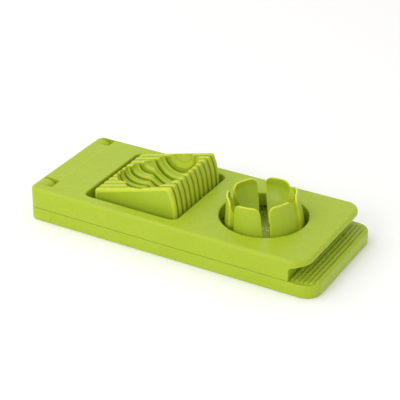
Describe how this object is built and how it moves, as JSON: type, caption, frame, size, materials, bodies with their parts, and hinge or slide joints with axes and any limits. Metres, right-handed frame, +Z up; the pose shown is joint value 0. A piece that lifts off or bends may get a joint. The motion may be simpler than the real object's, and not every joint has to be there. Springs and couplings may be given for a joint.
{
  "type": "egg slicer",
  "caption": "Two-in-one egg slicer: a ribbed cradle for slices and a fingered cup for wedges on one base, with a hinged lid that carries the cutting wires.",
  "frame": {"origin": "middle of the base's underside, on the surface it stands on", "axes": "+X from the hinge to the handle end, +Y to the left of that, +Z up"},
  "size_m": [0.2164, 0.0908, 0.0441],
  "materials": {
    "lime_plastic": "moulded, lime green, low satin gloss",
    "wire_steel": "drawn stainless wire, bright",
    "screw_steel": "zinc-plated, satin"
  },
  "bodies": {
    "base": {"base_tray": "lime_plastic", "slicer_cradle": "lime_plastic", "wedger_cup": "lime_plastic", "hinge_pin": "wire_steel", "cradle_screw_1": "screw_steel", "cradle_screw_2": "screw_steel", "cradle_screw_3": "screw_steel", "cradle_screw_4": "screw_steel", "cup_screw_1": "screw_steel", "cup_screw_2": "screw_steel", "cup_screw_3": "screw_steel"},
    "lid": {"lid_frame": "lime_plastic", "slicer_wire_frame": "lime_plastic", "wedger_wire_frame": "lime_plastic", "slicer_wire_01": "wire_steel", "slicer_wire_02": "wire_steel", "slicer_wire_03": "wire_steel", "slicer_wire_04": "wire_steel", "slicer_wire_05": "wire_steel", "slicer_wire_06": "wire_steel", "slicer_wire_07": "wire_steel", "slicer_wire_08": "wire_steel", "slicer_wire_09": "wire_steel", "slicer_wire_10": "wire_steel", "wedge_wire_1": "wire_steel", "wedge_wire_2": "wire_steel", "wedge_wire_3": "wire_steel", "slicer_frame_screw_1": "screw_steel", "slicer_frame_screw_2": "screw_steel", "slicer_frame_screw_3": "screw_steel", "slicer_frame_screw_4": "screw_steel", "wedger_frame_screw_1": "screw_steel", "wedger_frame_screw_2": "screw_steel", "wedger_frame_screw_3": "screw_steel", "wedger_frame_screw_4": "screw_steel"}
  },
  "joints": [
    {"name": "lid_hinge", "type": "hinge", "parent": "base", "child": "lid", "pos_m": [-0.1042, 0, 0.0134], "axis": [0, -1, 0], "range_deg": [0, 90]}
  ]
}
